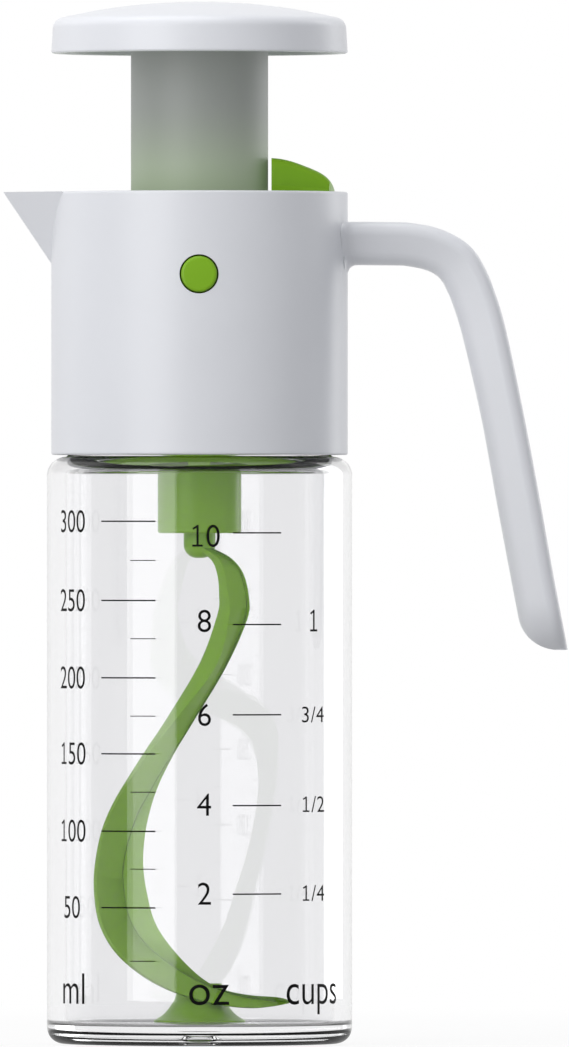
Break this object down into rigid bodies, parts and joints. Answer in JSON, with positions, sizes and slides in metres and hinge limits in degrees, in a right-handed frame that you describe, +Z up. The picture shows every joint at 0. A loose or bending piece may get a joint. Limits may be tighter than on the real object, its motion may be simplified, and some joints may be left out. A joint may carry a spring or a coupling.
{
  "type": "dressing mixer bottle",
  "caption": "Clear straight-sided dressing mixer bottle with a screw collar, V spout, grip handle, pouring lever, lock button and a sprung plunger that spins a helical stirring ribbon.",
  "frame": {"origin": "centre of the bottle's flat underside, on the bottle's axis", "axes": "+Z up along the bottle's axis, -X towards the spout, +X towards the handle, -Y towards the lock button and the printed scale"},
  "size_m": [0.1273, 0.069, 0.2354],
  "materials": {
    "clear_glass": "clear thick glass, polished",
    "white_plastic": "white moulded plastic, satin gloss",
    "green_plastic": "leaf green moulded plastic, gloss",
    "frosted_plastic": "frosted translucent plastic",
    "silicone": "soft translucent silicone",
    "acetal": "natural acetal, smooth",
    "spring_steel": "bright drawn stainless wire",
    "printed_ink": "black screen-printed ink"
  },
  "bodies": {
    "bottle": {"bottle": "clear_glass"},
    "gasket": {"neck_gasket": "silicone"},
    "collar": {"pouring_collar": "white_plastic", "guide_deck": "white_plastic", "plunger_wiper": "silicone", "neck_insert": "green_plastic", "hub_bush": "acetal", "lever_pins": "spring_steel", "lever_spring": "spring_steel", "button_spring": "spring_steel"},
    "plunger": {"plunger_cap": "white_plastic", "plunger_tube": "frosted_plastic", "drive_spindle": "acetal", "spring_cup": "acetal"},
    "stirrer": {"drive_tube": "green_plastic", "drive_nut": "acetal", "return_spring": "spring_steel", "stirrer": "green_plastic"},
    "lever": {"pour_lever": "green_plastic", "spout_seal": "silicone"},
    "lock": {"lock_button": "green_plastic", "lock_slide": "acetal"}
  },
  "joints": [
    {"name": "head_lift", "type": "slide", "parent": "bottle", "child": "gasket", "axis": [0, 0, 1], "range_m": [0, 0.155]},
    {"name": "collar_turn", "type": "hinge", "parent": "gasket", "child": "collar", "pos_m": [0, 0, 0.148], "axis": [0, 0, 1], "range_deg": [0, 450]},
    {"name": "plunger_press", "type": "slide", "parent": "collar", "child": "plunger", "axis": [0, 0, 1], "range_m": [-0.031, 0], "stiffness_N_per_m": 180, "springref_m": 0.03, "deforming": ["return_spring"]},
    {"name": "stirrer_spin", "type": "hinge", "parent": "collar", "child": "stirrer", "pos_m": [0, 0, 0.14], "axis": [0, 0, 1], "range_deg": [0, 350]},
    {"name": "lever_press", "type": "hinge", "parent": "collar", "child": "lever", "pos_m": [0, 0, 0.1866], "axis": [0, 1, 0], "range_deg": [0, 8], "stiffness_Nm_per_rad": 0.17, "springref_deg": -12.03, "deforming": ["lever_spring"]},
    {"name": "button_press", "type": "slide", "parent": "collar", "child": "lock", "axis": [0, 1, 0], "range_m": [0, 0.0018], "stiffness_N_per_m": 400, "springref_m": -0.002, "deforming": ["button_spring"]}
  ],
  "couplings": [
    {"joint": "stirrer_spin", "follows": "plunger_press", "rad_per_m": -196.35}
  ]
}
